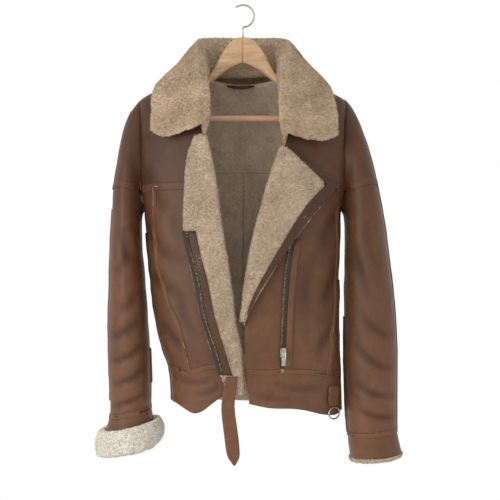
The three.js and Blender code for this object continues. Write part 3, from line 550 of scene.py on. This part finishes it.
def band(name, first, line, width):
    rows, left, right = [], [], []
    for i, at in enumerate(line):
        ahead = line[min(i + 1, len(line) - 1)] - line[max(i - 1, 0)]
        out = out_from(first, at)
        across = out.cross(ahead).normalized()
        row = []
        for share, rise in BAND_PROFILE:
            row.append(laid(SURFACE, at + across * share * width / 2, out) + out * rise * MM)
        rows.append(row)
        for store, share in ((left, -STITCH_SHARE), (right, STITCH_SHARE)):
            spot = laid(SURFACE, at + across * share * width / 2, out)
            store.append((spot + out * STITCH_RISE * MM, out))
    bm = bmesh.new()
    verts = [[bm.verts.new(p) for p in row] for row in rows]
    for low, high in zip(verts, verts[1:]):
        for k in range(len(low) - 1):
            bm.faces.new((low[k], low[k + 1], high[k + 1], high[k]))
    return smooth(object_of(bm, name, (STRIP_LEATHER,))), (left, right)


def row_tree():
    tree = bpy.data.node_groups.new("row_of_small_parts", "GeometryNodeTree")
    for label, kind in (("Geometry", "Geometry"), ("Spacing", "Float"), ("Length", "Float"),
                        ("Width", "Float"), ("Height", "Float"), ("Material", "Material")):
        tree.interface.new_socket(label, in_out="INPUT", socket_type="NodeSocket" + kind)
    tree.interface.new_socket("Geometry", in_out="OUTPUT", socket_type="NodeSocketGeometry")
    source = node(tree, "NodeGroupInput").outputs
    link = tree.links.new
    curve = node(tree, "GeometryNodeMeshToCurve")
    link(source["Geometry"], curve.inputs[0])
    even = node(tree, "GeometryNodeResampleCurve", mode="LENGTH")
    link(curve.outputs[0], even.inputs["Curve"])
    link(source["Spacing"], even.inputs["Length"])
    facing = node(tree, "GeometryNodeInputNamedAttribute", {"Name": "facing"}, data_type="FLOAT_VECTOR")
    tangent = node(tree, "GeometryNodeInputTangent")
    upright = node(tree, "FunctionNodeAlignRotationToVector", axis="Z")
    link(facing.outputs[0], upright.inputs["Vector"])
    along = node(tree, "FunctionNodeAlignRotationToVector", axis="X", pivot_axis="Z")
    link(upright.outputs[0], along.inputs["Rotation"])
    link(tangent.outputs[0], along.inputs["Vector"])
    bead = node(tree, "GeometryNodeMeshUVSphere", {"Segments": 6, "Rings": 3, "Radius": 0.5})
    size = node(tree, "ShaderNodeCombineXYZ")
    for label, place in (("Length", 0), ("Width", 1), ("Height", 2)):
        link(source[label], size.inputs[place])
    placed = node(tree, "GeometryNodeInstanceOnPoints")
    for value, place in ((even.outputs[0], "Points"), (bead.outputs[0], "Instance"),
                         (along.outputs[0], "Rotation"), (size.outputs[0], "Scale")):
        link(value, placed.inputs[place])
    real = node(tree, "GeometryNodeRealizeInstances")
    link(placed.outputs[0], real.inputs[0])
    painted = node(tree, "GeometryNodeSetMaterial")
    link(real.outputs[0], painted.inputs["Geometry"])
    link(source["Material"], painted.inputs["Material"])
    link(painted.outputs[0], node(tree, "NodeGroupOutput").inputs[0])
    return tree


ROW = row_tree()
THREAD = leather("thread", (2.1, 1.9, 1.7, 1))


def beads(name, lines, material, spacing, length, width, height):
    mesh = bpy.data.meshes.new(name)
    points, edges, facing = [], [], []
    for line in lines:
        first = len(points)
        points += [p for p, _ in line]
        facing += [n for _, n in line]
        edges += [(first + i, first + i + 1) for i in range(len(line) - 1)]
    mesh.from_pydata(points, edges, [])
    attribute = mesh.attributes.new("facing", "FLOAT_VECTOR", "POINT")
    attribute.data.foreach_set("vector", [c for n in facing for c in n])
    made = bpy.data.objects.new(name, mesh)
    bpy.context.scene.collection.objects.link(made)
    values = {"Spacing": spacing, "Length": length, "Width": width, "Height": height,
              "Material": material}
    return smooth(with_nodes(made, ROW, values))


def seam_list():
    outer = {"L": lambda p: p.x < -0.225, "R": lambda p: p.x > 0.245}
    under = {"L": lambda p: p.x > -0.21, "R": lambda p: p.x < 0.215}
    seams = [("centre_back", "back_L", "back_R", 9, None)]
    for side in SIDES:
        s = f"_{side}"
        seams += [
            ("yoke_centre" + s, "front_yoke" + s, "front_centre" + s, 14, None),
            ("yoke_side" + s, "front_yoke" + s, "front_side" + s, 14, None),
            ("princess" + s, "front_centre" + s, "front_side" + s, 10, None),
            ("waist_centre" + s, "front_centre" + s, "waistband_front" + s, 9, None),
            ("waist_side" + s, "front_side" + s, "waistband_front" + s, 9, None),
            ("side" + s, "front_side" + s, "back" + s, 9, None),
            ("back_yoke" + s, "back" + s, "back_yoke", 14, None),
            ("waist_back" + s, "back" + s, "waistband_back", 9, None),
            ("band_side" + s, "waistband_front" + s, "waistband_back", 9, None),
            ("head_front" + s, "sleeve_front" + s, "sleeve_head_front" + s, 13, None),
            ("head_back" + s, "sleeve_back" + s, "sleeve_head_back" + s, 13, None),
            ("head_top" + s, "sleeve_head_front" + s, "sleeve_head_back" + s, 9, None),
            ("sleeve_long" + s, "sleeve_front" + s, "sleeve_back" + s, 9, outer[side]),
            ("sleeve_under" + s, "sleeve_front" + s, "sleeve_back" + s, 9, under[side]),
            ("cuff_front" + s, "sleeve_front" + s, "cuff" + s, 9, None),
            ("cuff_back" + s, "sleeve_back" + s, "cuff" + s, 9, None),
        ]
    return seams


for label, first, second, width, keep in seam_list():
    line = curved(shared_edge(first, second, keep))
    if len(line) < 3:
        continue
    lapped, rows = band("seam_" + label, first, line, width * MM)
    sewn = beads("stitches_" + label, rows, THREAD, 4.2 * MM, 3.0 * MM, 0.9 * MM, 0.7 * MM)
    for made in (lapped, sewn):
        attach(made, "root")

# Hem: the leather is turned up and stitched once along the lower edge of the waistband. The row
# is found on the front by rays from ahead of the jacket, at the hem's points (x, z) in mm.
HEM_FRONT = ((-136, -765), (-118, -773), (-97, -783), (-66, -772), (-30, -746), (-9, -743)), (
    (13, -768), (56, -771), (89, -783), (124, -788), (160, -785), (186, -782))
HEM_RISE = 10
AHEAD = -0.4
hem_lines = []
for route in HEM_FRONT:
    line = []
    for x, z in route:
        hit = SURFACE.ray_cast(Vector((x * MM, AHEAD, (z + HEM_RISE) * MM)), Vector((0, 1, 0)))
        if hit[0] is not None:
            line.append(hit[0])
    rows = []
    for at in curved(line):
        spot = SURFACE.find_nearest(at)
        rows.append((spot[0] + spot[1] * 0.2 * MM, spot[1].copy()))
    hem_lines.append(rows)
hem_stitches = beads("stitches_hem", hem_lines, THREAD, 4.4 * MM, 3.2 * MM, 1.0 * MM, 0.8 * MM)
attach(hem_stitches, "root")

# Leather trims: the bound edge of the lapel, the edging strip, the strip beside the zip, the belt
# end, the tab above its ring and the loop in the neck. All are flat cut pieces of plain leather.


def trim_piece(name, levels, material, rough=0.35):
    made = subdivided(quads_of(name), name + "_cloth", (material,), levels, 40)
    return swollen(made, lambda p: rough * noise.noise(p * 60))


TRIMS = {
    "lapel_edge_R": (EDGE_LEATHER, (0.016, 0.34)), "edge_strip_L": (EDGE_LEATHER, (0.016, 0.29)),
    "zip_strip_R": (STRIP_LEATHER, (0.013, 0.24)), "belt_end": (STRIP_LEATHER, (0.025, 0.166)),
    "belt_tab": (STRIP_LEATHER, (0.026, 0.038)), "hang_loop": (EDGE_LEATHER, (0.05, 0.01)),
}
for name, (material, cut) in TRIMS.items():
    cloth[name] = trim_piece(name, 2, material)
    CUTS[name] = cut
    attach(cloth[name], "root")
    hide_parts(name)

# The zip and the small metal: woven dark tape with a chain of antique brass teeth, the slider with
# its swinging pull, the stop, and the cast ring that swings in the belt tab.


def metal(name, dark, bright, rough):
    material = bpy.data.materials.new(name)
    material.use_nodes = True
    tree = material.node_tree
    shader = tree.nodes["Principled BSDF"]
    coords = node(tree, "ShaderNodeTexCoord").outputs["Object"]
    worn = ramp(tree, cloud(tree, coords, 320, 4), 0.38, 0.62)
    tree.links.new(mixed(tree, worn, dark, bright), shader.inputs["Base Color"])
    tree.links.new(ramp(tree, worn, 0, 1, rough + 0.16, rough), shader.inputs["Roughness"])
    tree.links.new(bumped(tree, cloud(tree, coords, 900), 0.15, 0.0003), shader.inputs["Normal"])
    shader.inputs["Metallic"].default_value = 1.0
    return material


def tape(name):
    material = bpy.data.materials.new(name)
    material.use_nodes = True
    tree = material.node_tree
    shader = tree.nodes["Principled BSDF"]
    coords = node(tree, "ShaderNodeTexCoord").outputs["Object"]
    wave = node(tree, "ShaderNodeTexWave", {"Scale": 260.0, "Distortion": 1.5}, bands_direction="Z")
    tree.links.new(coords, wave.inputs["Vector"])
    colour = mixed(tree, wave.outputs["Fac"], (0.02, 0.015, 0.012, 1), (0.05, 0.036, 0.028, 1))
    tree.links.new(colour, shader.inputs["Base Color"])
    tree.links.new(bumped(tree, wave.outputs["Fac"], 0.5, 0.0006), shader.inputs["Normal"])
    shader.inputs["Roughness"].default_value = 0.85
    return material


TAPE = tape("zip_tape")
BRASS = metal("aged_brass", (0.13, 0.1, 0.055, 1), (0.42, 0.34, 0.2, 1), 0.32)
NICKEL = metal("worn_nickel", (0.26, 0.24, 0.21, 1), (0.6, 0.57, 0.5, 1), 0.24)
ZIP_PATHS = {
    "zip_L": ((-104, -442), (-97, -478), (-82, -529), (-73, -588), (-54, -648), (-39, -700)),
    "zip_R": ((92, -457), (84, -500), (80, -540), (77, -585), (75, -630), (74, -652)),
}
ZIP_FACE = -0.11
for name, route in ZIP_PATHS.items():
    base = trim_piece(name, 2, TAPE, 0.1)
    tree = tree_of([base])
    line = []
    for at in curved([Vector((x * MM, ZIP_FACE, z * MM)) for x, z in route]):
        spot = tree.find_nearest(at)
        line.append((spot[0] + spot[1] * 0.4 * MM, spot[1].copy()))
    teeth = beads("teeth_" + name, [line], BRASS, 2.6 * MM, 1.7 * MM, 5.4 * MM, 1.6 * MM)
    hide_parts(name)
    for made in (base, teeth):
        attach(made, "root")
MOVING = {"pull_tab", "belt_ring"}
for name, material in (("zip_slider", NICKEL), ("zip_stop", BRASS), ("pull_tab", NICKEL),
                       ("belt_ring", NICKEL)):
    bm = quads_of(name)
    if name == "pull_tab":
        flat = [f for f in bm.faces if abs(f.normal.y) > 0.9 and f.calc_area() > 1e-5]
        bmesh.ops.inset_individual(bm, faces=flat, thickness=1.5 * MM, depth=-0.35 * MM)
    if name == "belt_ring":
        made = subdivided(bm, name + "_metal", (material,), 2, 80)
    else:
        made = object_of(bm, name + "_metal", (material,))
        bevel = made.modifiers.new("edges", "BEVEL")
        bevel.width, bevel.segments, bevel.limit_method = 0.5 * MM, 3, "ANGLE"
        made = smooth(applied(made))
    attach(made, name if name in MOVING else "root")
    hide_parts(name)

# The hanger: two contoured halves of lacquered wood with the grain along them, a dowel between
# them as the trouser bar, and a plain wire hook screwed into the middle.


def wood(name, deep, pale, stretch):
    material = bpy.data.materials.new(name)
    material.use_nodes = True
    tree = material.node_tree
    shader = tree.nodes["Principled BSDF"]
    coords = node(tree, "ShaderNodeTexCoord").outputs["Object"]
    mapping = node(tree, "ShaderNodeMapping")
    mapping.inputs["Scale"].default_value = stretch
    tree.links.new(coords, mapping.inputs["Vector"])
    grain = ramp(tree, cloud(tree, mapping.outputs[0], 60, 6, 0.6), 0.35, 0.66)
    tree.links.new(mixed(tree, grain, deep, pale), shader.inputs["Base Color"])
    tree.links.new(bumped(tree, grain, 0.12, 0.0006), shader.inputs["Normal"])
    shader.inputs["Roughness"].default_value = 0.38
    return material


WOOD = wood("lacquered_wood", (0.4, 0.235, 0.115, 1), (0.56, 0.37, 0.2, 1), (0.25, 3, 3))
DOWEL = wood("pink_dowel", (0.55, 0.28, 0.17, 1), (0.68, 0.38, 0.25, 1), (0.12, 3, 3))
HANGER_PARTS = (("hanger_L", WOOD, "wood", 2), ("hanger_R", WOOD, "wood", 2),
                ("hanger_bar", DOWEL, "wood", 2), ("hanger_hook", NICKEL, "hook_wire", 1))
for name, material, slot, levels in HANGER_PARTS:
    made = subdivided(quads_of(name), name + "_part", (material,), levels, 55)
    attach(made, "root")
    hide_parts(name)

# The stage: a pale floor below the jacket, a white world and soft light from the front.
FLOOR = {"z": -1.35, "x": 1.6, "front": -1.7, "back": 1.6}
bm = bmesh.new()
corners = ((-FLOOR["x"], FLOOR["front"]), (FLOOR["x"], FLOOR["front"]),
           (FLOOR["x"], FLOOR["back"]), (-FLOOR["x"], FLOOR["back"]))
bm.faces.new([bm.verts.new((x, y, FLOOR["z"])) for x, y in corners])
pale = bpy.data.materials.new("pale_floor")
pale.use_nodes = True
pale.node_tree.nodes["Principled BSDF"].inputs["Base Color"].default_value = (0.85, 0.85, 0.85, 1)
pale.node_tree.nodes["Principled BSDF"].inputs["Roughness"].default_value = 0.9
floor = object_of(bm, "floor", (pale,))

world = bpy.data.worlds.new("white")
bpy.context.scene.world = world
world.use_nodes = True
world.node_tree.nodes["Background"].inputs["Color"].default_value = (1, 1, 1, 1)
world.node_tree.nodes["Background"].inputs["Strength"].default_value = 1.0


def area_light(name, place, target, size, power):
    lamp = bpy.data.lights.new(name, "AREA")
    lamp.size, lamp.energy = size, power
    made = bpy.data.objects.new(name, lamp)
    made.location = place
    aim = Vector(target) - Vector(place)
    made.rotation_euler = aim.to_track_quat("-Z", "Y").to_euler()
    bpy.context.scene.collection.objects.link(made)


area_light("front_left", (-1.3, -1.6, -0.2), (0, 0, -0.5), 0.7, 16)
bpy.context.scene.view_settings.view_transform = "Standard"

# The camera stands square to the front, level with the middle of the jacket.
CAMERA_AT = (0.0135, -2.0, -0.475)
LENS = 74.6
camera = bpy.data.cameras.new("camera")
camera.lens = LENS
camera.sensor_width = 36
seen_from = bpy.data.objects.new("camera", camera)
seen_from.location = CAMERA_AT
seen_from.rotation_euler = (math.radians(90), 0, 0)
bpy.context.scene.collection.objects.link(seen_from)
bpy.context.scene.camera = seen_from
